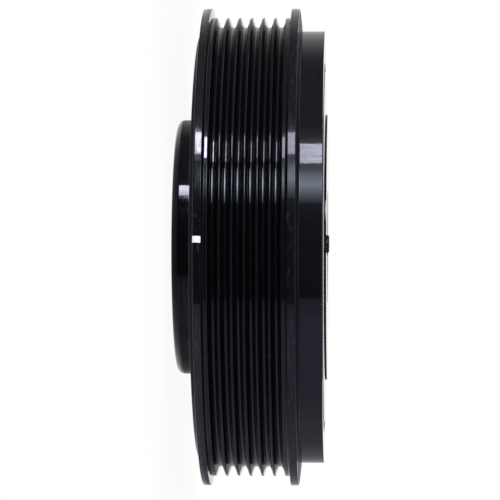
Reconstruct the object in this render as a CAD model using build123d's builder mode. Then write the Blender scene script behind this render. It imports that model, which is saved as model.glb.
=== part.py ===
"""Crankshaft harmonic balancer with a ribbed belt pulley.

A keyed cast-iron hub carries an outer inertia ring through a bonded rubber ring.
The inertia ring is also the drive pulley. Its axis is Z. The balancer stands on the
flat face of the hub's nose at Z = 0, with the crankshaft side up.
All sizes are in millimetres, and radii are measured from the axis.
"""

import math
import os

from build123d import *

# ---- belt grooves of the pulley -------------------------------------------------
GROOVE_COUNT = 6
GROOVE_PITCH = 3.56
GROOVE_ANGLE = 40.0  # between the two flanks
RIB_TIP_RADIUS = 69.1
RIB_TIP_WIDTH = 0.66

# ---- pulley and inertia ring ----------------------------------------------------
RING_RADIUS = 65.1  # plain ring on both sides of the belt track
RING_SETBACK = 6.6  # nose face to the front of the ring
FRONT_STEP = 1.47  # 45 degree bevel standing in front of the front flange
REAR_BAND = 6.75  # plain ring behind the rear flange
RING_EDGE = 0.2
FLANGE_RADIUS = 71.9
FRONT_FLANGE_WIDTH = 2.3
REAR_FLANGE_WIDTH = 2.3
FLANGE_WALL_RUN = 0.45  # axial run of the sloped walls that face the belt
FLANGE_EDGE = 0.3
REAR_FLANGE_DRAFT = 0.75  # axial run of the cast rear side of the rear flange
FRONT_SHOULDER = 2.48  # foot of the front wall to the first groove
REAR_SHOULDER = 2.8  # last groove to the foot of the rear wall

# ---- rubber ring ----------------------------------------------------------------
RUBBER_THICKNESS = 3.0
RUBBER_END_SETBACK = 1.4  # below the ends of the inertia ring

# ---- hub ------------------------------------------------------------------------
NOSE_RADIUS = 38.4
NOSE_CORNER_ROUND = 2.4
NOSE_CORNER_FLATS = 3  # flats that the rounded corner is turned in
HUB_RIM_RADIUS = 53.0
HUB_RIM_WALL = 6.5
RIM_FRONT_SETBACK = 0.6  # rim below the front of the inertia ring
RIM_REAR_STAND = 0.12  # rim above the rear of the inertia ring
WEB_THICKNESS = 14.0  # at the rim
WEB_CROWN = 0.35  # rise of the web's rear side from the rim to the boss
BOSS_RADIUS = 40.1
BOSS_HEIGHT = 0.4

# ---- crankshaft bore ------------------------------------------------------------
BORE_RADIUS = 16.0
BORE_CHAMFER = 1.0
BOLT_SEAT_RADIUS = 22.0
BOLT_SEAT_DEPTH = 7.0
KEYWAY_WIDTH = 5.0
KEYWAY_DEPTH = 2.6
KEYWAY_ANGLE = 90.0

# ---- puller holes in the nose ---------------------------------------------------
PULLER_HOLE_COUNT = 3
PULLER_HOLE_RADIUS = 3.4
PULLER_CIRCLE_RADIUS = 28.5
PULLER_HOLE_DEPTH = 18.0
PULLER_HOLE_CHAMFER = 0.6
PULLER_FIRST_ANGLE = -90.0
DRILL_POINT_ANGLE = 118.0

# ---- locating dowel -------------------------------------------------------------
DOWEL_RADIUS = 2.6
DOWEL_STAND = 0.74
DOWEL_LENGTH = 11.0
DOWEL_EDGE = 0.3
DOWEL_CIRCLE_RADIUS = 25.0
DOWEL_ANGLE = -92.2

# ---- timing notch in the front flange -------------------------------------------
NOTCH_WIDTH = 1.85
NOTCH_DEPTH = 0.35
NOTCH_ANGLE = -91.7

# ---- positions along the axis ---------------------------------------------------
ring_front = RING_SETBACK
front_flange_side = ring_front + FRONT_STEP
front_flange_edge = front_flange_side + FRONT_FLANGE_WIDTH
front_wall_foot = front_flange_edge + FLANGE_WALL_RUN
first_groove = front_wall_foot + FRONT_SHOULDER
last_groove = first_groove + (GROOVE_COUNT - 1) * GROOVE_PITCH
rear_wall_foot = last_groove + REAR_SHOULDER
rear_flange_edge = rear_wall_foot + FLANGE_WALL_RUN
rear_flange_side = rear_flange_edge + REAR_FLANGE_WIDTH
rear_band_start = rear_flange_side + REAR_FLANGE_DRAFT
ring_rear = rear_band_start + REAR_BAND

rim_front = ring_front + RIM_FRONT_SETBACK
rim_rear = ring_rear + RIM_REAR_STAND
boss_foot = rim_rear + WEB_CROWN
boss_face = boss_foot + BOSS_HEIGHT
web_front = rim_rear - WEB_THICKNESS
rubber_front = ring_front + RUBBER_END_SETBACK
rubber_rear = ring_rear - RUBBER_END_SETBACK

# ---- sizes that follow from other sizes -----------------------------------------
rubber_outer = HUB_RIM_RADIUS + RUBBER_THICKNESS
rim_inner = HUB_RIM_RADIUS - HUB_RIM_WALL
dowel_hole_bottom = boss_face + DOWEL_STAND - DOWEL_LENGTH


def corners(section, *points):
    """Corners of a section nearest to the given radius and height pairs."""
    return [section.vertices().sort_by_distance(point)[0] for point in points]


# ---- inertia ring and belt pulley -----------------------------------------------
flank_run = math.tan(math.radians(GROOVE_ANGLE / 2))
groove_depth = (GROOVE_PITCH - RIB_TIP_WIDTH) / 2 / flank_run
clear_height = FLANGE_RADIUS - RIB_TIP_RADIUS
half_mouth = (groove_depth + clear_height) * flank_run
groove_places = [
    (RIB_TIP_RADIUS, first_groove + i * GROOVE_PITCH) for i in range(GROOVE_COUNT)
]

with BuildPart() as pulley:
    with BuildSketch(Plane.XZ) as pulley_section:
        with BuildLine():
            Polyline(
                (rubber_outer, ring_front),
                (RING_RADIUS - FRONT_STEP, ring_front),
                (RING_RADIUS, front_flange_side),
                (FLANGE_RADIUS, front_flange_side),
                (FLANGE_RADIUS, front_flange_edge),
                (RIB_TIP_RADIUS, front_wall_foot),
                (RIB_TIP_RADIUS, rear_wall_foot),
                (FLANGE_RADIUS, rear_flange_edge),
                (FLANGE_RADIUS, rear_flange_side),
                (RING_RADIUS, rear_band_start),
                (RING_RADIUS, ring_rear),
                (rubber_outer, ring_rear),
                close=True,
            )
        make_face()
        chamfer(
            corners(
                pulley_section,
                (FLANGE_RADIUS, front_flange_side),
                (FLANGE_RADIUS, rear_flange_side),
            ),
            FLANGE_EDGE,
        )
        chamfer(corners(pulley_section, (RING_RADIUS, ring_rear)), RING_EDGE)
        with Locations(*groove_places):
            Polygon(
                (-groove_depth, 0),
                (clear_height, -half_mouth),
                (clear_height, half_mouth),
                align=None,
                mode=Mode.SUBTRACT,
            )
    revolve(axis=Axis.Z)

    # timing notch, milled across the front flange
    with BuildSketch(Plane.XY.offset(front_flange_side)):
        with PolarLocations(FLANGE_RADIUS, 1, start_angle=NOTCH_ANGLE):
            Rectangle(2 * NOTCH_DEPTH, NOTCH_WIDTH)
    extrude(amount=FRONT_FLANGE_WIDTH + FLANGE_WALL_RUN, mode=Mode.SUBTRACT)

pulley.part.label = "pulley"

# ---- rubber ring, bonded between the hub's rim and the inertia ring --------------
with BuildPart() as rubber_ring:
    with BuildSketch(Plane.XY.offset(rubber_front)):
        Circle(rubber_outer)
        Circle(HUB_RIM_RADIUS, mode=Mode.SUBTRACT)
    extrude(amount=rubber_rear - rubber_front)

rubber_ring.part.label = "rubber_ring"

# ---- hub ------------------------------------------------------------------------
flat_turn = math.pi / 2 / NOSE_CORNER_FLATS
nose_corner = [
    (
        NOSE_RADIUS - NOSE_CORNER_ROUND * (1 - math.sin(i * flat_turn)),
        NOSE_CORNER_ROUND * (1 - math.cos(i * flat_turn)),
    )
    for i in range(NOSE_CORNER_FLATS + 1)
]

with BuildPart() as hub:
    with BuildSketch(Plane.XZ) as hub_section:
        with BuildLine():
            Polyline(
                (BOLT_SEAT_RADIUS, 0),
                *nose_corner,
                (NOSE_RADIUS, web_front),
                (rim_inner, web_front),
                (rim_inner, rim_front),
                (HUB_RIM_RADIUS, rim_front),
                (HUB_RIM_RADIUS, rim_rear),
                (BOSS_RADIUS, boss_foot),
                (BOSS_RADIUS, boss_face),
                (BORE_RADIUS, boss_face),
                (BORE_RADIUS, BOLT_SEAT_DEPTH),
                (BOLT_SEAT_RADIUS, BOLT_SEAT_DEPTH),
                close=True,
            )
        make_face()
        chamfer(corners(hub_section, (BORE_RADIUS, boss_face)), BORE_CHAMFER)
    revolve(axis=Axis.Z)

    # keyway, broached through the bore
    with BuildSketch(Plane.XY.offset(BOLT_SEAT_DEPTH)):
        with PolarLocations(BORE_RADIUS, 1, start_angle=KEYWAY_ANGLE):
            Rectangle(2 * KEYWAY_DEPTH, KEYWAY_WIDTH)
    extrude(amount=boss_face - BOLT_SEAT_DEPTH, mode=Mode.SUBTRACT)

    # tapped puller holes in the nose, drilled from its face
    drill_point = PULLER_HOLE_RADIUS / math.tan(math.radians(DRILL_POINT_ANGLE / 2))
    with BuildSketch(Plane.XZ) as drilling:
        with BuildLine():
            Polyline(
                (0, 0),
                (PULLER_HOLE_RADIUS + PULLER_HOLE_CHAMFER, 0),
                (PULLER_HOLE_RADIUS, PULLER_HOLE_CHAMFER),
                (PULLER_HOLE_RADIUS, PULLER_HOLE_DEPTH),
                (0, PULLER_HOLE_DEPTH + drill_point),
                close=True,
            )
        make_face()
    puller_hole = revolve(axis=Axis.Z, mode=Mode.PRIVATE)
    with PolarLocations(
        PULLER_CIRCLE_RADIUS, PULLER_HOLE_COUNT, start_angle=PULLER_FIRST_ANGLE
    ):
        add(puller_hole, mode=Mode.SUBTRACT)

    # reamed hole for the dowel
    with BuildSketch(Plane.XY.offset(dowel_hole_bottom)):
        with PolarLocations(DOWEL_CIRCLE_RADIUS, 1, start_angle=DOWEL_ANGLE):
            Circle(DOWEL_RADIUS)
    extrude(amount=DOWEL_LENGTH, mode=Mode.SUBTRACT)

hub.part.label = "hub"

# ---- dowel, pressed into the crankshaft side of the hub --------------------------
with BuildPart() as dowel:
    with BuildSketch(Plane.XY.offset(dowel_hole_bottom)):
        with PolarLocations(DOWEL_CIRCLE_RADIUS, 1, start_angle=DOWEL_ANGLE):
            Circle(DOWEL_RADIUS)
    extrude(amount=DOWEL_LENGTH)
    chamfer(dowel.edges().filter_by(GeomType.CIRCLE).group_by(Axis.Z)[-1], DOWEL_EDGE)

dowel.part.label = "dowel"

# ---- files ----------------------------------------------------------------------
os.makedirs("parts", exist_ok=True)
export_step(pulley.part, "parts/pulley.step")
export_step(rubber_ring.part, "parts/rubber_ring.step")
export_step(hub.part, "parts/hub.step")
export_step(dowel.part, "parts/dowel.step")
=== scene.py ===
"""Looks of the crankshaft harmonic balancer, dressed over its packed construction model.

The axis of the balancer is Z and its nose stands on Z = 0. Sizes of the balancer are in
millimetres and become metres with MM. Places in the studio are in metres.
"""

import math

import bmesh
import bpy
from mathutils import Matrix, Vector


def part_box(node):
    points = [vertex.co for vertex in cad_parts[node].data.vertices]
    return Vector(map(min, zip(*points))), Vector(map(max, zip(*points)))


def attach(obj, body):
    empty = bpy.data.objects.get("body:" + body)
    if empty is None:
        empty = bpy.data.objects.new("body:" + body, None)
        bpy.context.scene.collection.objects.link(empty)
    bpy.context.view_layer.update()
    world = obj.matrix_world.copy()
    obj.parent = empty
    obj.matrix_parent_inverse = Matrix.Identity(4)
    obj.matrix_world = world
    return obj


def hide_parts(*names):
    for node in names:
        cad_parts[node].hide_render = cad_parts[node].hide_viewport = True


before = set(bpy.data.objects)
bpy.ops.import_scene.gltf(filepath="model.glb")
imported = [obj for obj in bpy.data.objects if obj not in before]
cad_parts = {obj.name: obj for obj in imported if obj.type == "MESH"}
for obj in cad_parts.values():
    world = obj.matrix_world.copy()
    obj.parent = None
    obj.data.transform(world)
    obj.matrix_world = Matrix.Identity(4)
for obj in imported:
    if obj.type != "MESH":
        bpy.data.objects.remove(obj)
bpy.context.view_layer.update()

MM = 0.001
TURN_STEPS = 288  # flats round every turned piece
DRILL_STEPS = 48  # flats round drilled holes
ROUND_STEPS = 5  # flats in a rounded corner
LARGE_ROUND = 1  # corners rounded by this much or more get twice the flats
KEYWAY_STEPS = 3  # flats in the fillets of the keyway
MARK_STEPS = 10  # flats across the paint in the notch
WELD = 0.001 * MM
FLAT_MARGIN = 0.04  # from the end of a round to the point that keeps the flat beside it true
SMOOTH_BELOW = math.radians(32)  # edges that turn less than this are shaded smooth
OVERSHOOT = 1  # how far a cutter reaches past the face that it cuts

# ---- sizes shared with the construction model, in millimetres ---------------------
PULLEY_LOW, PULLEY_HIGH = (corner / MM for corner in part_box("pulley"))
RUBBER_LOW, RUBBER_HIGH = (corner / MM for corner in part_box("rubber_ring"))
HUB_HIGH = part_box("hub")[1] / MM
DOWEL_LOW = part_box("dowel")[0] / MM

FLANGE_RADIUS = PULLEY_HIGH.x - 0.02
RING_FRONT = PULLEY_LOW.z
RING_REAR = PULLEY_HIGH.z
RING_RADIUS = 65.1
FRONT_STEP = 1.47
FRONT_FLANGE_WIDTH = 2.3
REAR_FLANGE_WIDTH = 2.3
REAR_FLANGE_DRAFT = 0.75
FLANGE_WALL_RUN = 0.45
FRONT_SHOULDER = 2.56
REAR_SHOULDER = 2.72
GROOVE_COUNT = 6
GROOVE_PITCH = 3.56
GROOVE_ANGLE = math.radians(40)
RIB_TIP_RADIUS = 69.1
RIB_TIP_WIDTH = 0.66
HALF_GAP = (GROOVE_PITCH - RIB_TIP_WIDTH) / 2  # from the middle of a groove to its lips
ROOT_FLAT = 0.26  # flat bottom of a groove
ROOT_SIDE = 0.3  # eased strip on each side of the flat
ROOT_SIDE_RISE = 0.027

RUBBER_OUTER = 56.0
RUBBER_INNER = HUB_HIGH.x
RUBBER_HOLLOW = 0.7  # how far the ends of the rubber sink between the metal walls

NOSE_RADIUS = 38.4
NOSE_CORNER_ROUND = 2.1  # a little tighter than the flats of the construction model
RIM_INNER = 46.5
RIM_FRONT = 7.2
RIM_REAR = 44.27
WEB_THICKNESS = 14.0
BOSS_RADIUS = 40.1
BOSS_FOOT = 44.62
BOSS_FACE = HUB_HIGH.z
BORE_RADIUS = 16.0
BORE_CHAMFER = 1.0
BOLT_SEAT_RADIUS = 22.0
BOLT_SEAT_DEPTH = 7.0
KEYWAY_WIDTH = 5.0
KEYWAY_DEPTH = 2.6
KEYWAY_ANGLE = math.radians(90)
KEYWAY_FILLET = 0.3

PULLER_HOLE_COUNT = 3
PULLER_HOLE_RADIUS = 3.4
PULLER_CIRCLE_RADIUS = 28.5
PULLER_HOLE_DEPTH = 18.0
PULLER_HOLE_CHAMFER = 0.6
PULLER_FIRST_ANGLE = math.radians(-90)
DRILL_POINT_ANGLE = math.radians(118)
THREAD_PITCH = 1.25
THREAD_DEPTH = 0.55
THREAD_LENGTH = 15.0
THREAD_START = 0.1  # behind the chamfer of the hole
THREAD_FORM = ((0, 0), (0.45, 1), (0.55, 1), (0.95, 0))  # share of the pitch, share of the depth

DOWEL_RADIUS = 2.6
DOWEL_CIRCLE_RADIUS = 25.0
DOWEL_ANGLE = math.radians(-92.2)
DOWEL_HOLE_BREAK = 0.25

NOTCH_WIDTH = 1.85
NOTCH_DEPTH = 0.35
NOTCH_ANGLE = math.radians(-91.7)
MARK_INSET = 0.03  # how far the paint in the notch stays below the flange
MARK_SINK = 0.03  # how far it reaches into the floor of the notch
MARK_LAP = 0.01  # how far it reaches past the sides of the notch

# rounded corners, in millimetres
RING_FRONT_ROUND = 0.3
BEVEL_ROUND = 0.2
FRONT_RIM_ROUND = 0.38  # front edge of the front flange
BELT_SIDE_ROUND = 0.12  # edges of the flanges beside the belt
FRONT_FOOT_ROUND = 0.15
REAR_FOOT_ROUND = 0.3
REAR_RIM_ROUND = 0.15
LIP_ROUND = 0.3  # lips of the grooves
LIP_REACH = 0.22  # what the round of a lip takes of the flat beside it
ROOT_ROUND = 0.08
BAND_FOOT_ROUND = 0.3
RING_REAR_ROUND = 0.15
RUBBER_HOLLOW_ROUND = 1.6
SEAT_ROUND = 0.4
BORE_FRONT_ROUND = 0.2
RECESS_ROUND = 1.5
RIM_INNER_ROUND = 0.5
RIM_FRONT_ROUND = 0.4
RIM_REAR_ROUND = 0.2
BOSS_FOOT_ROUND = 0.1
BOSS_EDGE_ROUND = 0.08
MARK_FRONT_ROUND = 0.3
MARK_REAR_ROUND = 0.1

# places along the axis, in millimetres
FRONT_FLANGE_SIDE = RING_FRONT + FRONT_STEP
FRONT_FLANGE_EDGE = FRONT_FLANGE_SIDE + FRONT_FLANGE_WIDTH
FRONT_WALL_FOOT = FRONT_FLANGE_EDGE + FLANGE_WALL_RUN
FIRST_GROOVE = FRONT_WALL_FOOT + FRONT_SHOULDER
LAST_GROOVE = FIRST_GROOVE + (GROOVE_COUNT - 1) * GROOVE_PITCH
REAR_WALL_FOOT = LAST_GROOVE + REAR_SHOULDER
REAR_FLANGE_EDGE = REAR_WALL_FOOT + FLANGE_WALL_RUN
REAR_FLANGE_SIDE = REAR_FLANGE_EDGE + REAR_FLANGE_WIDTH
REAR_BAND_START = REAR_FLANGE_SIDE + REAR_FLANGE_DRAFT
WEB_FRONT = RIM_REAR - WEB_THICKNESS


# ---- modelling helpers -------------------------------------------------------------
def clear_selection():
    """Leave edit mode with nothing selected."""
    if bpy.context.mode != "OBJECT":
        bpy.ops.object.mode_set(mode="OBJECT")
    bpy.ops.object.select_all(action="DESELECT")


def choose(piece):
    """Make one object the selected and active one."""
    clear_selection()
    piece.select_set(True)
    bpy.context.view_layer.objects.active = piece


def apply_modifiers(piece):
    """Apply every modifier of a piece in its order."""
    choose(piece)
    for modifier in list(piece.modifiers):
        bpy.ops.object.modifier_apply(modifier=modifier.name)


def corner_cut(before, corner, after, radius):
    """Distance from a corner to where a round of this radius starts."""
    arrive = (Vector(corner[:2]) - Vector(before[:2])).normalized()
    leave = (Vector(after[:2]) - Vector(corner[:2])).normalized()
    return radius * math.tan(arrive.angle(leave) / 2)


def round_corner(outline, corner, cut):
    """Round one corner of a wire outline in edit mode."""
    place = Vector((corner[0], 0, corner[1])) * MM
    bpy.ops.mesh.select_all(action="DESELECT")
    wire = bmesh.from_edit_mesh(outline.data)
    nearest = min(wire.verts, key=lambda vertex: (vertex.co - place).length)
    nearest.select = True
    bmesh.update_edit_mesh(outline.data)
    steps = ROUND_STEPS if corner[2] < LARGE_ROUND else 2 * ROUND_STEPS
    bpy.ops.mesh.bevel(offset=cut * MM, segments=steps, affect="VERTICES")


def draw_section(name, section, closed=True):
    """Wire outline in the XZ plane from (radius, height, corner round) in millimetres."""
    clear_selection()
    start = section[0]
    bpy.ops.mesh.primitive_plane_add(size=MM, location=(start[0] * MM, 0, start[1] * MM))
    outline = bpy.context.object
    outline.name = name
    bpy.ops.object.transform_apply(location=True)
    bpy.ops.object.mode_set(mode="EDIT")
    bpy.ops.mesh.select_mode(type="VERT")
    bpy.ops.mesh.select_all(action="SELECT")
    bpy.ops.mesh.merge(type="CENTER")
    route = section + section[:1] if closed else section
    for here, there in zip(route, route[1:]):
        step = ((there[0] - here[0]) * MM, 0, (there[1] - here[1]) * MM)
        bpy.ops.mesh.extrude_region_move(TRANSFORM_OT_translate={"value": step})
    bpy.ops.mesh.select_all(action="SELECT")
    bpy.ops.mesh.remove_doubles(threshold=WELD)
    for i, corner in enumerate(section):
        if corner[2]:
            after = section[(i + 1) % len(section)]
            cut = corner_cut(section[i - 1], corner, after, corner[2])
            round_corner(outline, corner, cut)
    return outline


def turn_piece(name, section, steps=TURN_STEPS, closed=True):
    """Turned piece: its section spun once round the axis."""
    piece = draw_section(name, section, closed)
    bpy.ops.mesh.select_all(action="SELECT")
    bpy.ops.mesh.spin(
        steps=steps, angle=math.tau, center=(0, 0, 0), axis=(0, 0, 1), use_auto_merge=True
    )
    bpy.ops.mesh.select_all(action="SELECT")
    bpy.ops.mesh.remove_doubles(threshold=WELD)
    bpy.ops.mesh.dissolve_degenerate(threshold=WELD)
    bpy.ops.mesh.select_all(action="SELECT")
    bpy.ops.mesh.normals_make_consistent(inside=False)
    clear_selection()
    return piece


def cut_away(piece, cutters):
    """Cut other objects out of a piece and remove them."""
    for cutter in cutters:
        cut = piece.modifiers.new(cutter.name, "BOOLEAN")
        cut.operation = "DIFFERENCE"
        cut.solver = "EXACT"
        cut.object = cutter
    apply_modifiers(piece)
    for cutter in cutters:
        bpy.data.objects.remove(cutter)


def finish_surface(piece, finish):
    """Give a piece its finish, shading that keeps flats flat, and its body."""
    choose(piece)
    piece.data.materials.clear()
    piece.data.materials.append(finish)
    bpy.ops.object.shade_smooth_by_angle(angle=SMOOTH_BELOW)
    even = piece.modifiers.new("even_shading", "WEIGHTED_NORMAL")
    even.keep_sharp = True
    even.weight = 100
    apply_modifiers(piece)
    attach(piece, "root")


def copy_of(piece):
    """Copy of a piece, with its own mesh."""
    choose(piece)
    bpy.ops.object.duplicate()
    return bpy.context.object


def place_on_circle(piece, radius, angle):
    """Move a piece made on the axis out to a circle about it, and turn it to face out."""
    choose(piece)
    piece.rotation_euler.z = angle
    piece.location = (radius * math.cos(angle) * MM, radius * math.sin(angle) * MM, 0)
    bpy.ops.object.transform_apply(location=True, rotation=True)


def block(name, radial, across, low, high):
    """Straight-sided block on the axis, for milled and broached cuts."""
    clear_selection()
    bpy.ops.mesh.primitive_cube_add(size=1, location=(0, 0, (low + high) / 2 * MM))
    cube = bpy.context.object
    cube.name = name
    cube.scale = (radial * MM, across * MM, (high - low) * MM)
    bpy.ops.object.transform_apply(location=True, scale=True)
    return cube


def round_upright_edges(cube, radius):
    """Round the edges of a block that run along the axis."""
    choose(cube)
    bpy.ops.object.mode_set(mode="EDIT")
    bpy.ops.mesh.select_mode(type="EDGE")
    bpy.ops.mesh.select_all(action="DESELECT")
    body = bmesh.from_edit_mesh(cube.data)
    for edge in body.edges:
        run = edge.verts[1].co - edge.verts[0].co
        edge.select = abs(run.z) > 0.9 * run.length
    bmesh.update_edit_mesh(cube.data)
    bpy.ops.mesh.bevel(offset=radius * MM, segments=KEYWAY_STEPS, affect="EDGES")
    clear_selection()


def true_flat(radius, low, high, rounds):
    """Points just inside the rounds of a turned flat, which keep its shading straight."""
    return [
        (radius, low + rounds[0] + FLAT_MARGIN, 0),
        (radius, high - rounds[1] - FLAT_MARGIN, 0),
    ]


# ---- pulley ------------------------------------------------------------------------
def groove_section():
    """Corners of the six V grooves from the nose side to the crankshaft side."""
    slope = math.tan(GROOVE_ANGLE / 2)
    half_root = ROOT_FLAT / 2 + ROOT_SIDE
    flank_foot = RIB_TIP_RADIUS - (HALF_GAP - half_root) / slope
    bottom = flank_foot - ROOT_SIDE_RISE
    points = []
    for i in range(GROOVE_COUNT):
        middle = FIRST_GROOVE + i * GROOVE_PITCH
        points += [
            (RIB_TIP_RADIUS, middle - HALF_GAP, LIP_ROUND),
            (flank_foot, middle - half_root, ROOT_ROUND),
            (bottom, middle - ROOT_FLAT / 2, ROOT_ROUND),
            (bottom, middle + ROOT_FLAT / 2, ROOT_ROUND),
            (flank_foot, middle + half_root, ROOT_ROUND),
            (RIB_TIP_RADIUS, middle + HALF_GAP, LIP_ROUND),
        ]
    return points


def make_pulley():
    """Inertia ring with the belt track, two flanges and the timing notch."""
    before_grooves = FIRST_GROOVE - HALF_GAP
    after_grooves = LAST_GROOVE + HALF_GAP
    front_rims = (FRONT_RIM_ROUND, BELT_SIDE_ROUND)
    rear_rims = (BELT_SIDE_ROUND, REAR_RIM_ROUND)
    section = [
        (RUBBER_OUTER, RING_FRONT, RING_FRONT_ROUND),
        (RING_RADIUS - FRONT_STEP, RING_FRONT, RING_FRONT_ROUND),
        (RING_RADIUS, FRONT_FLANGE_SIDE, BEVEL_ROUND),
        (FLANGE_RADIUS, FRONT_FLANGE_SIDE, FRONT_RIM_ROUND),
        *true_flat(FLANGE_RADIUS, FRONT_FLANGE_SIDE, FRONT_FLANGE_EDGE, front_rims),
        (FLANGE_RADIUS, FRONT_FLANGE_EDGE, BELT_SIDE_ROUND),
        (RIB_TIP_RADIUS, FRONT_WALL_FOOT, FRONT_FOOT_ROUND),
        *true_flat(RIB_TIP_RADIUS, FRONT_WALL_FOOT, before_grooves, (FRONT_FOOT_ROUND, LIP_REACH)),
        *groove_section(),
        *true_flat(RIB_TIP_RADIUS, after_grooves, REAR_WALL_FOOT, (LIP_REACH, REAR_FOOT_ROUND)),
        (RIB_TIP_RADIUS, REAR_WALL_FOOT, REAR_FOOT_ROUND),
        (FLANGE_RADIUS, REAR_FLANGE_EDGE, BELT_SIDE_ROUND),
        *true_flat(FLANGE_RADIUS, REAR_FLANGE_EDGE, REAR_FLANGE_SIDE, rear_rims),
        (FLANGE_RADIUS, REAR_FLANGE_SIDE, REAR_RIM_ROUND),
        (RING_RADIUS, REAR_BAND_START, BAND_FOOT_ROUND),
        *true_flat(RING_RADIUS, REAR_BAND_START, RING_REAR, (BAND_FOOT_ROUND, RING_REAR_ROUND)),
        (RING_RADIUS, RING_REAR, RING_REAR_ROUND),
        (RUBBER_OUTER, RING_REAR, RING_REAR_ROUND),
    ]
    pulley = turn_piece("pulley_dressed", section)
    notch_start = FRONT_FLANGE_SIDE - OVERSHOOT
    notch = block("timing_notch", 2 * NOTCH_DEPTH, NOTCH_WIDTH, notch_start, FRONT_WALL_FOOT)
    place_on_circle(notch, FLANGE_RADIUS, NOTCH_ANGLE)
    cut_away(pulley, [notch])
    finish_surface(pulley, pulley_paint())
    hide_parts("pulley")


def make_timing_mark():
    """Coat of white paint that fills the timing notch and wraps over the flange's corner."""
    outer = FLANGE_RADIUS - MARK_INSET
    floor = FLANGE_RADIUS - NOTCH_DEPTH - MARK_SINK
    section = [
        (floor, FRONT_FLANGE_SIDE - MARK_LAP, 0),
        (outer, FRONT_FLANGE_SIDE - MARK_LAP, MARK_FRONT_ROUND),
        (outer, FRONT_FLANGE_EDGE - 2 * MARK_LAP, MARK_REAR_ROUND),
        (floor, FRONT_FLANGE_EDGE + MARK_SINK, 0),
    ]
    mark = draw_section("timing_mark", section)
    sweep = (NOTCH_WIDTH + 2 * MARK_LAP) / FLANGE_RADIUS
    bpy.ops.mesh.select_all(action="SELECT")
    bpy.ops.mesh.edge_face_add()
    bpy.ops.mesh.spin(steps=MARK_STEPS, angle=sweep, center=(0, 0, 0), axis=(0, 0, 1))
    bpy.ops.mesh.select_all(action="SELECT")
    bpy.ops.mesh.normals_make_consistent(inside=False)
    choose(mark)
    mark.rotation_euler.z = NOTCH_ANGLE + sweep / 2
    bpy.ops.object.transform_apply(rotation=True)
    finish_surface(mark, mark_paint())


# ---- rubber ring -------------------------------------------------------------------
def make_rubber_ring():
    """Moulded rubber with slightly hollow ends."""
    middle = (RUBBER_OUTER + RUBBER_INNER) / 2
    low, high = RUBBER_LOW.z, RUBBER_HIGH.z
    section = [
        (RUBBER_INNER, low, 0),
        (middle, low + RUBBER_HOLLOW, RUBBER_HOLLOW_ROUND),
        (RUBBER_OUTER, low, 0),
        (RUBBER_OUTER, high, 0),
        (middle, high - RUBBER_HOLLOW, RUBBER_HOLLOW_ROUND),
        (RUBBER_INNER, high, 0),
    ]
    rubber = turn_piece("rubber_dressed", section)
    finish_surface(rubber, damper_rubber())
    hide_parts("rubber_ring")


# ---- hub ---------------------------------------------------------------------------
def puller_hole():
    """Threaded hole with its countersink and drill point, on the axis and from below."""
    tip = PULLER_HOLE_RADIUS / math.tan(DRILL_POINT_ANGLE / 2)
    section = [
        (0, -OVERSHOOT, 0),
        (PULLER_HOLE_RADIUS + PULLER_HOLE_CHAMFER, -OVERSHOOT, 0),
        (PULLER_HOLE_RADIUS + PULLER_HOLE_CHAMFER, 0, 0),
        (PULLER_HOLE_RADIUS, PULLER_HOLE_CHAMFER, 0),
    ]
    turns = int((THREAD_LENGTH - PULLER_HOLE_CHAMFER) / THREAD_PITCH)
    for i in range(turns):
        start = PULLER_HOLE_CHAMFER + THREAD_START + i * THREAD_PITCH
        section += [
            (PULLER_HOLE_RADIUS + deep * THREAD_DEPTH, start + along * THREAD_PITCH, 0)
            for along, deep in THREAD_FORM
        ]
    section += [(PULLER_HOLE_RADIUS, PULLER_HOLE_DEPTH, 0), (0, PULLER_HOLE_DEPTH + tip, 0)]
    return turn_piece("puller_hole", section, DRILL_STEPS, closed=False)


def dowel_hole():
    """Reamed hole for the dowel, with its edge broken, on the axis."""
    lip = DOWEL_RADIUS + DOWEL_HOLE_BREAK
    section = [
        (0, DOWEL_LOW.z, 0),
        (DOWEL_RADIUS, DOWEL_LOW.z, 0),
        (DOWEL_RADIUS, BOSS_FACE - DOWEL_HOLE_BREAK, 0),
        (lip, BOSS_FACE, 0),
        (lip, BOSS_FACE + OVERSHOOT, 0),
        (0, BOSS_FACE + OVERSHOOT, 0),
    ]
    return turn_piece("dowel_hole", section, DRILL_STEPS, closed=False)


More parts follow.
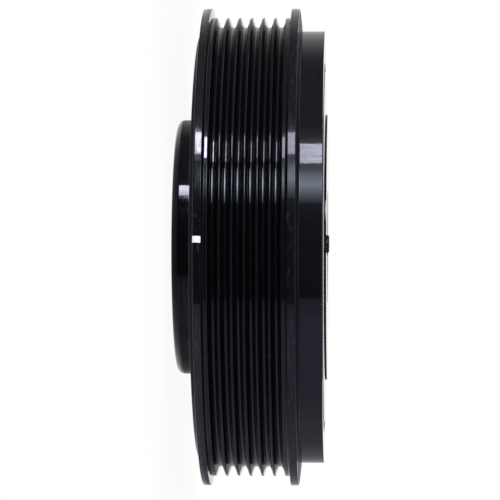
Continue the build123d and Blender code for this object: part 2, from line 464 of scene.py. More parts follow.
def make_hub():
    """Keyed hub with its rounded nose, web, rim, boss and puller holes."""
    section = [
        (BOLT_SEAT_RADIUS, 0, SEAT_ROUND),
        (NOSE_RADIUS, 0, NOSE_CORNER_ROUND),
        *true_flat(NOSE_RADIUS, 0, WEB_FRONT, (NOSE_CORNER_ROUND, RECESS_ROUND)),
        (NOSE_RADIUS, WEB_FRONT, RECESS_ROUND),
        (RIM_INNER, WEB_FRONT, RECESS_ROUND),
        (RIM_INNER, RIM_FRONT, RIM_INNER_ROUND),
        (RUBBER_INNER, RIM_FRONT, RIM_FRONT_ROUND),
        (RUBBER_INNER, RIM_REAR, RIM_REAR_ROUND),
        (BOSS_RADIUS, BOSS_FOOT, BOSS_FOOT_ROUND),
        (BOSS_RADIUS, BOSS_FACE, BOSS_EDGE_ROUND),
        (BORE_RADIUS + BORE_CHAMFER, BOSS_FACE, 0),
        (BORE_RADIUS, BOSS_FACE - BORE_CHAMFER, 0),
        (BORE_RADIUS, BOLT_SEAT_DEPTH, BORE_FRONT_ROUND),
        (BOLT_SEAT_RADIUS, BOLT_SEAT_DEPTH, SEAT_ROUND),
    ]
    hub = turn_piece("hub_dressed", section)
    key_start, key_end = BOLT_SEAT_DEPTH - OVERSHOOT, BOSS_FACE + OVERSHOOT
    keyway = block("keyway", 2 * KEYWAY_DEPTH, KEYWAY_WIDTH, key_start, key_end)
    round_upright_edges(keyway, KEYWAY_FILLET)
    place_on_circle(keyway, BORE_RADIUS, KEYWAY_ANGLE)
    holes = [puller_hole()]
    holes += [copy_of(holes[0]) for _ in range(PULLER_HOLE_COUNT - 1)]
    for i, hole in enumerate(holes):
        angle = PULLER_FIRST_ANGLE + i * math.tau / PULLER_HOLE_COUNT
        place_on_circle(hole, PULLER_CIRCLE_RADIUS, angle)
    seat = dowel_hole()
    place_on_circle(seat, DOWEL_CIRCLE_RADIUS, DOWEL_ANGLE)
    cut_away(hub, [keyway, *holes, seat])
    finish_surface(hub, hub_paint())
    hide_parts("hub")


# ---- shader helpers ----------------------------------------------------------------
def put(tree, value, socket):
    """Link an output to a socket, or write a plain value on it."""
    if isinstance(value, bpy.types.NodeSocket):
        tree.links.new(value, socket)
    else:
        socket.default_value = value


def shader_node(tree, kind, values=None, **settings):
    """Add a shader node with its settings and the values or links of its sockets."""
    made = tree.nodes.new(kind)
    for name, setting in settings.items():
        setattr(made, name, setting)
    for socket, value in (values or {}).items():
        put(tree, value, made.inputs[socket])
    return made


def maths(tree, operation, *values):
    """Math node with its inputs in order."""
    made = shader_node(tree, "ShaderNodeMath", dict(enumerate(values)), operation=operation)
    return made.outputs["Value"]


def remap(tree, value, low, high, to_low=0.0, to_high=1.0, smooth=False):
    """Value moved from one range to another and kept inside it."""
    values = {
        "Value": value,
        "From Min": low,
        "From Max": high,
        "To Min": to_low,
        "To Max": to_high,
    }
    kind = "SMOOTHSTEP" if smooth else "LINEAR"
    made = shader_node(tree, "ShaderNodeMapRange", values, interpolation_type=kind)
    return made.outputs["Result"]


def blend_colors(tree, mask, first, second):
    """Second colour over the first where the mask says."""
    made = shader_node(tree, "ShaderNodeMix", data_type="RGBA")
    put(tree, mask, made.inputs["Factor"])
    put(tree, first, made.inputs[6])
    put(tree, second, made.inputs[7])
    return made.outputs[2]


def effect_group(name, inputs, outputs):
    """Empty shader node group with named number inputs and number outputs."""
    group = bpy.data.node_groups.new(name, "ShaderNodeTree")
    for socket, value in inputs.items():
        made = group.interface.new_socket(socket, in_out="INPUT", socket_type="NodeSocketFloat")
        made.default_value = value
    for socket in outputs:
        group.interface.new_socket(socket, in_out="OUTPUT", socket_type="NodeSocketFloat")
    start = group.nodes.new("NodeGroupInput")
    end = group.nodes.new("NodeGroupOutput")
    return group, start, end


def use_effect(tree, group, **values):
    """Place an effect group in a material, with its own values."""
    made = tree.nodes.new("ShaderNodeGroup")
    made.node_tree = group
    for socket, value in values.items():
        put(tree, value, made.inputs[socket.replace("_", " ").title()])
    return made


def object_place(tree):
    """Object coordinates in millimetres."""
    place = tree.nodes.new("ShaderNodeTexCoord")
    scale = shader_node(tree, "ShaderNodeVectorMath", operation="SCALE")
    tree.links.new(place.outputs["Object"], scale.inputs[0])
    scale.inputs["Scale"].default_value = 1 / MM
    return scale.outputs["Vector"]


def new_finish(name):
    """Material with only its shader and output, ready for its nodes."""
    material = bpy.data.materials.new(name)
    material.use_nodes = True
    tree = material.node_tree
    shader = tree.nodes["Principled BSDF"]
    return material, tree, shader


def raise_surface(tree, shader, height, depth):
    """Bump from a height, as deep as this many millimetres."""
    bump = shader_node(tree, "ShaderNodeBump", {"Height": height, "Distance": depth * MM})
    bump.inputs["Strength"].default_value = 1.0
    tree.links.new(bump.outputs["Normal"], shader.inputs["Normal"])


# ---- effects that several finishes share --------------------------------------------
SCUFF_LIMIT = 0.85  # noise above which a surface with no cover of scuffs is scuffed
SCUFF_SPREAD = 0.5  # what full cover takes off that limit
SCUFF_EDGE = 0.12  # softness of the edge of a scuff


def make_turned_place():
    """Radius, height and distance round the axis of a point, in millimetres."""
    group, _, end = effect_group("turned_place", {}, ("Radius", "Height", "Round"))
    split = shader_node(group, "ShaderNodeSeparateXYZ", {"Vector": object_place(group)})
    x, y = split.outputs["X"], split.outputs["Y"]
    x_squared = maths(group, "MULTIPLY", x, x)
    y_squared = maths(group, "MULTIPLY", y, y)
    radius = maths(group, "SQRT", maths(group, "ADD", x_squared, y_squared))
    angle = maths(group, "ARCTAN2", y, x)
    group.links.new(radius, end.inputs["Radius"])
    group.links.new(split.outputs["Z"], end.inputs["Height"])
    group.links.new(maths(group, "MULTIPLY", angle, radius), end.inputs["Round"])
    return group


def make_orange_peel():
    """Ripple of a sprayed coat, with a slower change of its film."""
    group, start, end = effect_group(
        "orange_peel", {"Ripple": 1.2, "Film": 9.0}, ("Height", "Tone")
    )
    place = object_place(group)
    for socket, output, detail in (("Ripple", "Height", 2.0), ("Film", "Tone", 3.0)):
        scale = maths(group, "DIVIDE", 1.0, start.outputs[socket])
        noise = shader_node(
            group, "ShaderNodeTexNoise", {"Vector": place, "Scale": scale, "Detail": detail}
        )
        group.links.new(noise.outputs["Fac"], end.inputs[output])
    return group


def make_fine_dust():
    """Sparse specks of dust."""
    group, start, end = effect_group(
        "fine_dust", {"Spacing": 3.0, "Speck": 0.12, "Share": 0.2}, ("Mask",)
    )
    scale = maths(group, "DIVIDE", 1.0, start.outputs["Spacing"])
    cells = shader_node(
        group, "ShaderNodeTexVoronoi", {"Vector": object_place(group), "Scale": scale}
    )
    reach = maths(group, "DIVIDE", start.outputs["Speck"], start.outputs["Spacing"])
    near = maths(group, "LESS_THAN", cells.outputs["Distance"], reach)
    pick = shader_node(group, "ShaderNodeSeparateColor", {"Color": cells.outputs["Color"]})
    chosen = maths(group, "LESS_THAN", pick.outputs["Red"], start.outputs["Share"])
    group.links.new(maths(group, "MULTIPLY", near, chosen), end.inputs["Mask"])
    return group


def make_handling_marks():
    """Patches of light scuffs, drawn out round the axis."""
    group, start, end = effect_group(
        "handling_marks", {"Length": 6.0, "Width": 0.5, "Cover": 0.3}, ("Mask",)
    )
    here = shader_node(group, "ShaderNodeGroup", node_tree=turned_place)
    along = maths(group, "DIVIDE", here.outputs["Round"], start.outputs["Length"])
    over = maths(group, "DIVIDE", here.outputs["Height"], start.outputs["Width"])
    across = maths(group, "DIVIDE", here.outputs["Radius"], start.outputs["Width"])
    place = shader_node(group, "ShaderNodeCombineXYZ", {"X": along, "Y": over, "Z": across})
    fine = shader_node(
        group, "ShaderNodeTexNoise", {"Vector": place.outputs[0], "Scale": 1.0, "Detail": 4.0}
    )
    opened = maths(group, "MULTIPLY", start.outputs["Cover"], SCUFF_SPREAD)
    limit = maths(group, "SUBTRACT", SCUFF_LIMIT, opened)
    full = maths(group, "ADD", limit, SCUFF_EDGE)
    mask = remap(group, fine.outputs["Fac"], limit, full)
    group.links.new(mask, end.inputs["Mask"])
    return group


def make_turning_marks():
    """Fine feed marks of a lathe tool across a face or along a cylinder."""
    group, start, end = effect_group("turning_marks", {"Feed": 0.15}, ("Height",))
    here = shader_node(group, "ShaderNodeGroup", node_tree=turned_place)
    run = maths(group, "ADD", here.outputs["Radius"], here.outputs["Height"])
    lines = maths(group, "DIVIDE", run, start.outputs["Feed"])
    values = {"W": lines, "Scale": 1.0, "Detail": 2.0}
    noise = shader_node(group, "ShaderNodeTexNoise", values, noise_dimensions="1D")
    group.links.new(noise.outputs["Fac"], end.inputs["Height"])
    return group


def make_cast_grain():
    """Pitted grain of a sand casting or a mould."""
    group, start, end = effect_group("cast_grain", {"Grain": 0.6}, ("Height",))
    scale = maths(group, "DIVIDE", 1.0, start.outputs["Grain"])
    place = object_place(group)
    values = {"Vector": place, "Scale": scale, "Detail": 5.0, "Roughness": 0.65}
    noise = shader_node(group, "ShaderNodeTexNoise", values)
    group.links.new(noise.outputs["Fac"], end.inputs["Height"])
    return group


# ---- finishes ----------------------------------------------------------------------
DEEP_BLACK = (0.002, 0.0022, 0.003, 1)
PALE_DUST = (0.09, 0.09, 0.10, 1)
SCUFFED_BLACK = (0.013, 0.013, 0.018, 1)
DARK_STEEL = (0.42, 0.41, 0.40, 1)
BRIGHT_STEEL = (0.6, 0.59, 0.57, 1)
DARK_RUBBER = (0.016, 0.016, 0.017, 1)
BLOOMED_RUBBER = (0.032, 0.032, 0.033, 1)
BLACKENED_STEEL = (0.02, 0.021, 0.023, 1)
WORN_STEEL = (0.09, 0.09, 0.09, 1)
WHITE_ENAMEL = (0.86, 0.86, 0.87, 1)
SOILED_ENAMEL = (0.70, 0.70, 0.71, 1)
MARK_DUST = (0.25, 0.25, 0.25, 1)
COOL_GLOSS = (0.78, 0.80, 1.0, 1)
GLOSS_INDEX = 1.55
TONE_RANGE = (0.35, 0.65)  # where most of the film's tone lies
GLOSS_ROUGHNESS = (0.035, 0.06)
SCUFF_ROUGHNESS = 0.06  # what scuffs, dust and the cast side add to it
DUST_ROUGHNESS = 0.4
CAST_ROUGHNESS = 0.35
BARE_ROUGHNESS = 0.22
MARKED_ROUGHNESS = 0.15  # what turning marks add to the bare steel
RUBBER_ROUGHNESS = (0.62, 0.8)
DOWEL_ROUGHNESS = (0.3, 0.42)
ENAMEL_ROUGHNESS = (0.32, 0.5)
PEEL_DEPTH = 0.003  # ripple of the sprayed coat, in millimetres
PAINTED_MARKS = 0.12  # depths as shares of that ripple
BARE_MARKS = 0.8
CAST_PITS = 14.0
PAINT_SLACK = 0.05  # how far a change of finish lies past the edge that it follows


def black_gloss(name, rim_radius, plain_cover, rim_cover):
    """Sprayed gloss black, scuffed most outside the rim radius, as the nodes to build on."""
    material, tree, shader = new_finish(name)
    shader.inputs["IOR"].default_value = GLOSS_INDEX
    shader.inputs["Specular Tint"].default_value = COOL_GLOSS
    peel = use_effect(tree, orange_peel, ripple=1.1, film=8.0)
    dust = use_effect(tree, fine_dust, spacing=3.4, speck=0.12, share=0.06)
    here = shader_node(tree, "ShaderNodeGroup", node_tree=turned_place)
    on_rim = maths(tree, "GREATER_THAN", here.outputs["Radius"], rim_radius)
    cover = maths(tree, "MULTIPLY_ADD", on_rim, rim_cover - plain_cover, plain_cover)
    scuffs = use_effect(tree, handling_marks, length=3.0, width=0.9, cover=cover)
    color = blend_colors(tree, scuffs.outputs["Mask"], DEEP_BLACK, SCUFFED_BLACK)
    color = blend_colors(tree, dust.outputs["Mask"], color, PALE_DUST)
    gloss = remap(tree, peel.outputs["Tone"], *TONE_RANGE, *GLOSS_ROUGHNESS)
    dulled = maths(tree, "MULTIPLY", scuffs.outputs["Mask"], SCUFF_ROUGHNESS)
    roughness = maths(tree, "ADD", gloss, dulled)
    specks = maths(tree, "MULTIPLY", dust.outputs["Mask"], DUST_ROUGHNESS)
    return material, tree, shader, {
        "color": color,
        "roughness": maths(tree, "ADD", roughness, specks),
        "height": peel.outputs["Height"],
        "radius": here.outputs["Radius"],
        "level": here.outputs["Height"],
    }


def pulley_paint():
    """Gloss black paint over the turned pulley."""
    material, tree, shader, coat = black_gloss(
        "pulley_gloss_black", rim_radius=FLANGE_RADIUS - 0.6, plain_cover=0.4, rim_cover=0.58
    )
    marks = use_effect(tree, turning_marks, feed=0.35)
    marked = maths(tree, "MULTIPLY_ADD", marks.outputs["Height"], PAINTED_MARKS, coat["height"])
    past_flange = maths(tree, "GREATER_THAN", coat["level"], REAR_FLANGE_SIDE + PAINT_SLACK)
    off_ring = maths(tree, "GREATER_THAN", coat["radius"], RING_RADIUS + 0.2)
    cast_side = maths(tree, "MULTIPLY", past_flange, off_ring)
    roughness = maths(tree, "MULTIPLY_ADD", cast_side, CAST_ROUGHNESS, coat["roughness"])
    put(tree, coat["color"], shader.inputs["Base Color"])
    put(tree, roughness, shader.inputs["Roughness"])
    raise_surface(tree, shader, marked, PEEL_DEPTH)
    return material


def hub_paint():
    """Gloss black paint over the hub, with the machined bore left bare."""
    material, tree, shader, coat = black_gloss(
        "hub_gloss_black", rim_radius=NOSE_RADIUS + 1, plain_cover=0.2, rim_cover=0.45
    )
    radius, level = coat["radius"], coat["level"]
    marks = use_effect(tree, turning_marks, feed=0.12).outputs["Height"]
    grain = use_effect(tree, cast_grain, grain=0.8).outputs["Height"]
    in_bore = maths(tree, "LESS_THAN", radius, BORE_RADIUS + BORE_CHAMFER + PAINT_SLACK)
    in_key = maths(tree, "LESS_THAN", radius, BORE_RADIUS + KEYWAY_DEPTH + PAINT_SLACK)
    below_face = maths(tree, "LESS_THAN", level, BOSS_FACE - 0.01)
    bare = maths(tree, "MAXIMUM", in_bore, maths(tree, "MULTIPLY", in_key, below_face))
    steel = blend_colors(tree, marks, DARK_STEEL, BRIGHT_STEEL)
    color = blend_colors(tree, bare, coat["color"], steel)
    machined = maths(tree, "MULTIPLY_ADD", marks, MARKED_ROUGHNESS, BARE_ROUGHNESS)
    bare_gloss = maths(tree, "MULTIPLY", bare, machined)
    painted = maths(tree, "SUBTRACT", 1.0, bare)
    roughness = maths(tree, "MULTIPLY_ADD", coat["roughness"], painted, bare_gloss)
    past_nose = maths(tree, "GREATER_THAN", radius, NOSE_RADIUS + 0.3)
    inside_rim = maths(tree, "LESS_THAN", radius, RIM_INNER - 0.1)
    near_web = maths(tree, "LESS_THAN", level, WEB_FRONT + 2)
    in_recess = maths(tree, "MULTIPLY", past_nose, inside_rim)
    cast = maths(tree, "MULTIPLY", in_recess, near_web)
    pits = maths(tree, "MULTIPLY", maths(tree, "MULTIPLY", grain, CAST_PITS), cast)
    turned = maths(tree, "MULTIPLY", maths(tree, "MULTIPLY", marks, BARE_MARKS), bare)
    height = maths(tree, "ADD", coat["height"], maths(tree, "ADD", pits, turned))
    put(tree, color, shader.inputs["Base Color"])
    put(tree, bare, shader.inputs["Metallic"])
    put(tree, roughness, shader.inputs["Roughness"])
    raise_surface(tree, shader, height, PEEL_DEPTH)
    return material


def damper_rubber():
    """Matt moulded rubber with a faint bloom and dust."""
    material, tree, shader = new_finish("moulded_rubber")
    grain = use_effect(tree, cast_grain, grain=0.35)
    dust = use_effect(tree, fine_dust, spacing=1.6, speck=0.12, share=0.25)
    peel = use_effect(tree, orange_peel, ripple=3.0, film=14.0)
    bloom = remap(tree, peel.outputs["Tone"], 0.35, 0.7)
    color = blend_colors(tree, bloom, DARK_RUBBER, BLOOMED_RUBBER)
    color = blend_colors(tree, dust.outputs["Mask"], color, PALE_DUST)
    put(tree, color, shader.inputs["Base Color"])
    roughness = remap(tree, bloom, 0.0, 1.0, *RUBBER_ROUGHNESS)
    put(tree, roughness, shader.inputs["Roughness"])
    raise_surface(tree, shader, grain.outputs["Height"], depth=0.05)
    return material


def dowel_steel():
    """Blackened steel, ground along the dowel and worn brighter in patches."""
    material, tree, shader = new_finish("blackened_steel")
    marks = use_effect(tree, turning_marks, feed=0.08)
    scuffs = use_effect(tree, handling_marks, length=0.8, width=0.15, cover=0.6)
    dust = use_effect(tree, fine_dust, spacing=0.9, speck=0.05, share=0.2)
    color = blend_colors(tree, scuffs.outputs["Mask"], BLACKENED_STEEL, WORN_STEEL)
    color = blend_colors(tree, dust.outputs["Mask"], color, PALE_DUST)
    put(tree, color, shader.inputs["Base Color"])
    roughness = remap(tree, marks.outputs["Height"], 0.3, 0.7, *DOWEL_ROUGHNESS)
    put(tree, roughness, shader.inputs["Roughness"])
    shader.inputs["Metallic"].default_value = 0.6
    raise_surface(tree, shader, marks.outputs["Height"], depth=0.004)
    return material


def mark_paint():
    """White enamel put on with a brush, soiled in patches."""
    material, tree, shader = new_finish("white_mark_enamel")
    strokes = use_effect(tree, handling_marks, length=2.5, width=0.12, cover=0.5)
    peel = use_effect(tree, orange_peel, ripple=0.5, film=1.5)
    dust = use_effect(tree, fine_dust, spacing=0.6, speck=0.05, share=0.15)
    soil = remap(tree, peel.outputs["Tone"], 0.5, 0.75, 0.0, 0.5)
    color = blend_colors(tree, soil, WHITE_ENAMEL, SOILED_ENAMEL)
    color = blend_colors(tree, dust.outputs["Mask"], color, MARK_DUST)
    put(tree, color, shader.inputs["Base Color"])
    roughness = remap(tree, strokes.outputs["Mask"], 0.0, 1.0, *ENAMEL_ROUGHNESS)
    put(tree, roughness, shader.inputs["Roughness"])
    raise_surface(tree, shader, peel.outputs["Height"], depth=0.03)
    return material


# ---- studio ------------------------------------------------------------------------
CAMERA_DISTANCE = 0.859
CAMERA_HEIGHT = 0.05318
AIM = Vector((0.0009, 0, 0.02155))  # the point that the camera looks at
ROLL = math.radians(0.13)
FRAME_WIDTH = 36.0  # of the camera, in millimetres
LENS = 204.4  # focal length, in millimetres

CARD_RADIUS = 1.6
CARD_REACH = 1.6  # cards stand this far above and below the floor
CARD_STEPS = 24  # flats in the arc of a card
TIER_SPLIT = -0.083  # the nose reflects the cards below this height, the rest those above
UPPER_RING = 0.45  # the cards of the middle tier end here, and the upper ring starts
CREASE_WIDTH = 1.6  # degrees
CREASE_HEIGHT = 0.0025
ROUND_CARD_STEPS = 96

FLOOR_RADIUS = 0.16
FLOOR_DROP = 0.0001
FLOOR_CLEAR = 0.94  # share of the white surround in the floor under the balancer
FLOOR_STEPS = 128
PAPER = (0.8, 0.8, 0.8, 1)
WHITE = (1, 1, 1, 1)
SURROUND_LIGHT = 0.45  # level at which the surround lights the balancer

SHADE_RADIUS = 0.05
SHADE_DEPTH = 0.002
SHADE_DROP = 0.0002

OVERHEAD_RADIUS = 0.3
OVERHEAD_DROP = 0.01
LAMP_DISTANCE = 1.5
LAMP_HEIGHT = 0.3
LAMP_TALL = 1.2

# levels of the cards over their height, as (height, share) stops
EVEN = ((-0.1, 1.0), (0.1, 1.0))
WALL_HEIGHTS = (
    (-0.083, 2.6),
    (-0.0765, 2.4),
    (-0.0735, 0.5),
    (-0.055, 1.0),
    (0.04, 1.0),
    (0.07, 0.3),
)
CEILING_HEIGHTS = (
    (-0.083, 2.0),
    (-0.0765, 2.0),
    (-0.0735, 1.0),
    (-0.055, 1.0),
    (0.04, 1.0),
    (0.07, 0.4),
)
FLAG_HEIGHTS = (
    (-0.083, 1.0),
    (-0.0765, 1.0),
    (-0.0735, 0.5),
    (-0.015, 0.6),
    (0.0, 1.0),
    (0.04, 1.0),
    (0.07, 0.3),
)
GAP_HEIGHTS = ((-0.083, 1.7), (-0.0765, 1.7), (-0.072, 1.0), (0.05, 1.0), (0.1, 0.0))
SOFTBOX_HEIGHTS = (
    (-0.083, 0.9),
    (-0.0765, 1.3),
    (-0.0715, 3.6),
    (-0.066, 3.6),
    (-0.061, 0.6),
    (-0.045, 0.5),
    (-0.012, 0.6),
    (-0.004, 0.75),
    (0.007, 0.75),
    (0.014, 1.05),
    (0.05, 1.0),
    (0.1, 0.0),
)
PANEL_HEIGHTS = (
    (-0.083, 0.15),
    (-0.068, 0.25),
    (-0.058, 0.5),
    (-0.02, 0.6),
    (-0.01, 1.0),
    (0.05, 1.1),
    (0.12, 1.2),
    (0.14, 4.0),
    (0.34, 4.0),
    (0.38, 0.3),
)
TABLE_FOOT_HEIGHTS = ((-0.13, 2.2), (-0.105, 1.0))
SOFTBOX_FOOT_HEIGHTS = ((-0.125, 0.01), (-0.115, 1.0))
SHADE_FALL = ((-0.0022, 0.35), (-0.0014, 1.0))
UPPER_HEIGHTS = ((0.45, 0.05), (0.75, 0.3), (1.1, 1.0), (1.6, 1.0))

# tints of the cards
NEUTRAL = (1, 1, 1)
COOL = (0.97, 0.97, 1.1)
WARM = (1.03, 1.0, 1.0)
GREENISH = (0.98, 1.07, 1.03)

# cards: name, (angle in degrees, level) stops, levels over the height, tint, depth of creases
MIDDLE_CARDS = (
    ("low_wall", ((-170, 0.66), (-158, 0.40), (-146, 0.28)), WALL_HEIGHTS, COOL, 0.0),
    ("far_table", ((-146, 0.28), (-124, 0.25), (-105, 0.34)), WALL_HEIGHTS, COOL, 0.0),
    (
        "table",
        ((-105, 0.36), (-75, 0.37), (-55, 0.43), (-38, 0.42), (-26, 0.26)),
        WALL_HEIGHTS,
        COOL,
        0.0,
    ),
    ("black_flag", ((-26, 0.08), (0, 0.09), (12, 0.12), (22, 0.22)), FLAG_HEIGHTS, NEUTRAL, 0.0),
    (
        "glow_panel",
        ((22, 0.3), (27, 1.9), (32, 4.3), (36, 3.0), (40, 1.3)),
        PANEL_HEIGHTS,
        GREENISH,
        0.1,
    ),
    ("lamp_gap", ((40, 1.3), (43.3, 1.3)), GAP_HEIGHTS, NEUTRAL, 0.0),
    ("softbox", ((43.3, 10.5), (54.2, 11.0)), SOFTBOX_HEIGHTS, WARM, 0.6),
    ("halo", ((54.2, 1.2), (58, 0.5), (64, 0.3)), CEILING_HEIGHTS, NEUTRAL, 0.0),
    (
        "ceiling",
        ((64, 0.27), (80, 0.22), (104, 0.16), (116, 0.18)),
        CEILING_HEIGHTS,
        NEUTRAL,
        0.0,
    ),
    ("far_ceiling", ((116, 0.19), (132, 0.42), (148, 0.57)), CEILING_HEIGHTS, NEUTRAL, 0.0),
    ("high_wall", ((148, 0.57), (170, 0.62)), CEILING_HEIGHTS, NEUTRAL, 0.0),
)

# cards under and over the middle tier: name, (angle, level) stops, levels over the height
FOOT_CARDS = (
    ("low_wall_foot", ((-170, 0.36), (-146, 0.16)), TABLE_FOOT_HEIGHTS),
    (
        "table_foot",
        ((-146, 0.16), (-105, 0.17), (-55, 0.19), (-38, 0.18), (-26, 0.11)),
        TABLE_FOOT_HEIGHTS,
    ),
    ("flag_foot", ((-26, 0.045), (0, 0.045), (12, 0.05), (30, 0.06), (46.4, 0.07)), EVEN),
    (
        "softbox_foot",
        ((46.4, 11), (48.8, 13), (50.6, 16), (52.5, 19.5), (56, 23)),
        SOFTBOX_FOOT_HEIGHTS,
    ),
    ("ceiling_foot", ((56, 0.2), (64, 0.11), (80, 0.12), (104, 0.14), (116, 0.11)), EVEN),
    ("high_wall_foot", ((116, 0.11), (132, 0.23), (148, 0.31), (170, 0.34)), EVEN),
)
UPPER_CARDS = (
    ("upper_left", ((-180, 0.9), (-110, 0.7), (-60, 0.4)), UPPER_HEIGHTS),
    ("upper_front", ((-60, 0.4), (0, 0.5), (60, 0.6)), UPPER_HEIGHTS),
    ("upper_right", ((60, 0.6), (120, 0.8), (180, 0.9)), UPPER_HEIGHTS),
)

# round cards and the cone under the nose, by their (angle, level) stops
TOP_LEVELS = ((-180, 0.8), (-110, 0.7), (-70, 0.35), (0, 0.3), (70, 0.35), (110, 0.7), (180, 0.8))
OVERHEAD_LEVELS = ((-180, 1.4), (180, 1.4))
BOTTOM_LEVELS = ((-180, 0.2), (180, 0.2))
# painted shade of the floor round the foot, as the nose's rounded corner shows it in the gloss
SHADE_LEVELS = (
    (-180, 1.0),
    (-66, 0.86),
    (-45, 0.58),
    (-22, 0.3),
    (-10, 0.18),
    (8, 0.21),
    (20, 0.33),
    (44, 0.4),
    (54, 0.53),
    (66, 0.9),
    (180, 1.0),
)


def direction(angle):
    """Level direction at an angle from the camera side, positive towards -X."""
    return Vector((-math.sin(angle), -math.cos(angle), 0))


def place_camera():
    """Camera beside the balancer, lying on its side so that the axis runs left to right."""
    eye = Vector((0, -CAMERA_DISTANCE, CAMERA_HEIGHT))
    back = (eye - AIM).normalized()
    right = Vector((-1, 0, 0)).cross(back).normalized()
    up = back.cross(right)
    turn = Matrix((right, up, back)).transposed() @ Matrix.Rotation(ROLL, 3, "Z")
    data = bpy.data.cameras.new("side_camera")
    data.lens = LENS
    data.sensor_width = FRAME_WIDTH
    camera = bpy.data.objects.new("side_camera", data)
    camera.matrix_world = Matrix.Translation(eye) @ turn.to_4x4()
    bpy.context.collection.objects.link(camera)
    bpy.context.scene.camera = camera


def level_ramp(tree, value, stops):
    """Level read from (place, level) stops, as a share of the highest level."""
    first, last = stops[0][0], stops[-1][0]
    top = max(level for _, level in stops)
    ramp = shader_node(tree, "ShaderNodeValToRGB", {"Fac": remap(tree, value, first, last)})
    marks = ramp.color_ramp.elements
    marks.remove(marks[1])
    for i, (place, level) in enumerate(stops):
        mark = marks[0] if i == 0 else marks.new((place - first) / (last - first))
        mark.position = (place - first) / (last - first)
        mark.color = (level / top, level / top, level / top, 1)
    return ramp.outputs["Color"], top


def card_glow(name, angles, heights, tint=NEUTRAL, creases=0.0):
    """Painted reflection of a studio card: a glow graded round its arc and over its height, with
    soft creases.
    """
    material = bpy.data.materials.new(name)
    material.use_nodes = True
    tree = material.node_tree
    tree.nodes.clear()
    place = tree.nodes.new("ShaderNodeTexCoord")
    split = shader_node(tree, "ShaderNodeSeparateXYZ", {"Vector": place.outputs["Object"]})
    height = split.outputs["Z"]
    across = maths(tree, "MULTIPLY", split.outputs["X"], -1.0)
    ahead = maths(tree, "MULTIPLY", split.outputs["Y"], -1.0)
    angle = maths(tree, "DEGREES", maths(tree, "ARCTAN2", across, ahead))
    round_level, round_top = level_ramp(tree, angle, angles)
    high_level, high_top = level_ramp(tree, height, heights)
    strength = maths(tree, "MULTIPLY", round_level, high_level)
    strength = maths(tree, "MULTIPLY", strength, round_top * high_top)
    if creases:
        along = maths(tree, "DIVIDE", angle, CREASE_WIDTH)
        up = maths(tree, "DIVIDE", height, CREASE_HEIGHT)
        folds = shader_node(tree, "ShaderNodeCombineXYZ", {"X": along, "Y": up})
        values = {"Vector": folds.outputs[0], "Scale": 1.0, "Detail": 3.0}
        noise = shader_node(tree, "ShaderNodeTexNoise", values)
        shade = remap(tree, noise.outputs["Fac"], 0.3, 0.7, 1 - creases, 1 + creases)
        strength = maths(tree, "MULTIPLY", strength, shade)
    glow = shader_node(tree, "ShaderNodeEmission", {"Strength": strength})
    glow.inputs["Color"].default_value = (*tint, 1)
    out = tree.nodes.new("ShaderNodeOutputMaterial")
    tree.links.new(glow.outputs[0], out.inputs["Surface"])
    return material


def only_in_gloss(card):
    """Let a card show only in the gloss of the balancer, so that its glow is a painted reflection
    that lights nothing.
    """
    card.visible_camera = False
    card.visible_diffuse = False
    card.visible_shadow = False
    card.visible_transmission = False
    card.visible_volume_scatter = False


def curved_card(name, angles, heights, tint, creases, low, high):
    """Studio card of painted reflection on an arc about the balancer, from (angle, level) stops.
    """
    start, end = math.radians(angles[0][0]), math.radians(angles[-1][0])
    foot = direction(start) * CARD_RADIUS
    clear_selection()
    bpy.ops.mesh.primitive_plane_add(size=CARD_REACH, location=(foot.x, foot.y, 0))
    card = bpy.context.object
    card.name = name
    bpy.ops.object.transform_apply(location=True)
    bpy.ops.object.mode_set(mode="EDIT")
    bpy.ops.mesh.select_mode(type="VERT")
    bpy.ops.mesh.select_all(action="SELECT")
    bpy.ops.mesh.merge(type="CENTER")
    bpy.ops.transform.translate(value=(0, 0, low))
    bpy.ops.mesh.extrude_region_move(TRANSFORM_OT_translate={"value": (0, 0, high - low)})
    bpy.ops.mesh.select_all(action="SELECT")
    bpy.ops.mesh.spin(steps=CARD_STEPS, angle=end - start, center=(0, 0, 0), axis=(0, 0, 1))
    clear_selection()
    card.data.materials.clear()
    card.data.materials.append(card_glow(name, angles, heights, tint, creases))
    only_in_gloss(card)


def round_card(name, height, radius, angles):
    """Round studio card of painted reflection on the axis, from (angle, level) stops."""
    clear_selection()
    bpy.ops.mesh.primitive_circle_add(
        vertices=ROUND_CARD_STEPS, radius=radius, fill_type="NGON", location=(0, 0, height)
    )
    card = bpy.context.object
    card.name = name
    bpy.ops.object.transform_apply(location=True)
    card.data.materials.append(card_glow(name, angles, EVEN))
    only_in_gloss(card)


def foot_shade():
    """Shallow cone under the nose, glowing as the painted shade of the floor round the foot, for
    what its rounded corner reflects.
    """
    clear_selection()
    bpy.ops.mesh.primitive_cone_add(
        vertices=ROUND_CARD_STEPS,
        radius1=SHADE_RADIUS,
        radius2=0.5 * SHADE_RADIUS,
        depth=SHADE_DEPTH,
        location=(0, 0, -SHADE_DROP - SHADE_DEPTH / 2),
    )
    cone = bpy.context.object
    cone.name = "foot_shade"
    bpy.ops.object.transform_apply(location=True)
    cone.data.materials.append(card_glow("foot_shade", SHADE_LEVELS, SHADE_FALL))
    only_in_gloss(cone)


def seen_directly(tree):
    """1 for camera, glossy and transmission rays, 0 for the rest."""
    path = tree.nodes.new("ShaderNodeLightPath")
    seen = maths(tree, "MAXIMUM", path.outputs["Is Camera Ray"], path.outputs["Is Glossy Ray"])
    return maths(tree, "MAXIMUM", seen, path.outputs["Is Transmission Ray"])


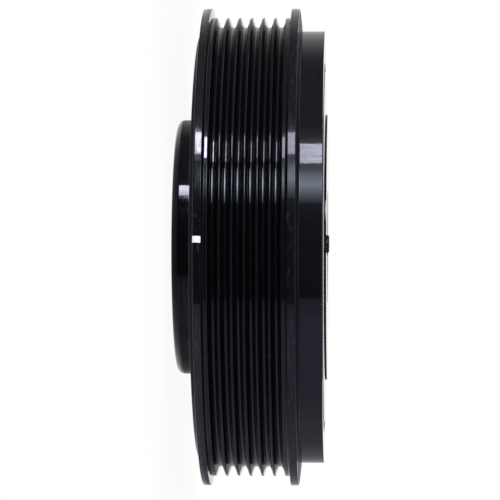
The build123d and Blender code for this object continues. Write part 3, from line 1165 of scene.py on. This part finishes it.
def set_world():
    """White surround, at a plain level for the light on the balancer."""
    world = bpy.data.worlds.new("studio")
    bpy.context.scene.world = world
    world.use_nodes = True
    tree = world.node_tree
    tree.nodes.clear()
    strength = remap(tree, seen_directly(tree), 0.0, 1.0, SURROUND_LIGHT, 1.0)
    sky = shader_node(tree, "ShaderNodeBackground", {"Strength": strength})
    sky.inputs["Color"].default_value = WHITE
    out = tree.nodes.new("ShaderNodeOutputWorld")
    tree.links.new(sky.outputs[0], out.inputs["Surface"])


def make_floor():
    """Pale floor that keeps the shadow and fades out into the white surround."""
    clear_selection()
    bpy.ops.mesh.primitive_circle_add(
        vertices=FLOOR_STEPS,
        radius=FLOOR_RADIUS,
        fill_type="NGON",
        location=(0, 0, -FLOOR_DROP),
    )
    floor = bpy.context.object
    floor.name = "floor"
    material = bpy.data.materials.new("pale_floor")
    material.use_nodes = True
    tree = material.node_tree
    tree.nodes.clear()
    place = tree.nodes.new("ShaderNodeTexCoord")
    reach = shader_node(tree, "ShaderNodeVectorMath", operation="LENGTH")
    tree.links.new(place.outputs["Object"], reach.inputs[0])
    distance = reach.outputs["Value"]
    clear = remap(tree, distance, 0.5 * FLOOR_RADIUS, FLOOR_RADIUS, FLOOR_CLEAR, 1.0, True)
    white = maths(tree, "MULTIPLY", seen_directly(tree), clear)
    paper = tree.nodes.new("ShaderNodeBsdfDiffuse")
    paper.inputs["Color"].default_value = PAPER
    glow = tree.nodes.new("ShaderNodeEmission")
    glow.inputs["Color"].default_value = WHITE
    glow.inputs["Strength"].default_value = 1.0
    layers = {0: white, 1: paper.outputs[0], 2: glow.outputs[0]}
    mix = shader_node(tree, "ShaderNodeMixShader", layers)
    out = tree.nodes.new("ShaderNodeOutputMaterial")
    tree.links.new(mix.outputs[0], out.inputs["Surface"])
    floor.data.materials.append(material)
    floor.visible_glossy = False


def area_lamp(name, angle, width, power):
    """Soft lamp aimed at the balancer from an angle round it."""
    light = bpy.data.lights.new(name, "AREA")
    light.shape = "RECTANGLE"
    light.size = width
    light.size_y = LAMP_TALL
    light.energy = power
    lamp = bpy.data.objects.new(name, light)
    away = direction(math.radians(angle)) * LAMP_DISTANCE + Vector((0, 0, LAMP_HEIGHT))
    lamp.location = away
    lamp.rotation_euler = away.to_track_quat("Z", "Y").to_euler()
    # the lamps stay out of the gloss, where the cards paint their reflections
    lamp.visible_glossy = False
    bpy.context.collection.objects.link(lamp)


def make_studio():
    """Camera, white surround, floor, lamps, and the cards of painted reflection that only the
    gloss shows.
    """
    bpy.context.scene.view_settings.view_transform = "Standard"
    place_camera()
    set_world()
    make_floor()
    area_lamp("key_lamp", angle=50, width=0.5, power=25)
    area_lamp("fill_lamp", angle=-60, width=1.0, power=10)
    for name, angles, heights, tint, creases in MIDDLE_CARDS:
        curved_card(name, angles, heights, tint, creases, TIER_SPLIT, UPPER_RING)
    for name, angles, heights in FOOT_CARDS:
        curved_card(name, angles, heights, NEUTRAL, 0.0, -CARD_REACH, TIER_SPLIT)
    for name, angles, heights in UPPER_CARDS:
        curved_card(name, angles, heights, COOL, 0.0, UPPER_RING, CARD_REACH)
    round_card("top_card", CARD_REACH, CARD_RADIUS, TOP_LEVELS)
    round_card("overhead_lamp", CARD_REACH - OVERHEAD_DROP, OVERHEAD_RADIUS, OVERHEAD_LEVELS)
    round_card("bottom_card", -CARD_REACH, CARD_RADIUS, BOTTOM_LEVELS)
    foot_shade()


# ---- the balancer ------------------------------------------------------------------
turned_place = make_turned_place()
orange_peel = make_orange_peel()
fine_dust = make_fine_dust()
handling_marks = make_handling_marks()
turning_marks = make_turning_marks()
cast_grain = make_cast_grain()

make_pulley()
make_timing_mark()
make_rubber_ring()
make_hub()

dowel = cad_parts["dowel"]
dowel.data.materials.clear()
dowel.data.materials.append(dowel_steel())

make_studio()
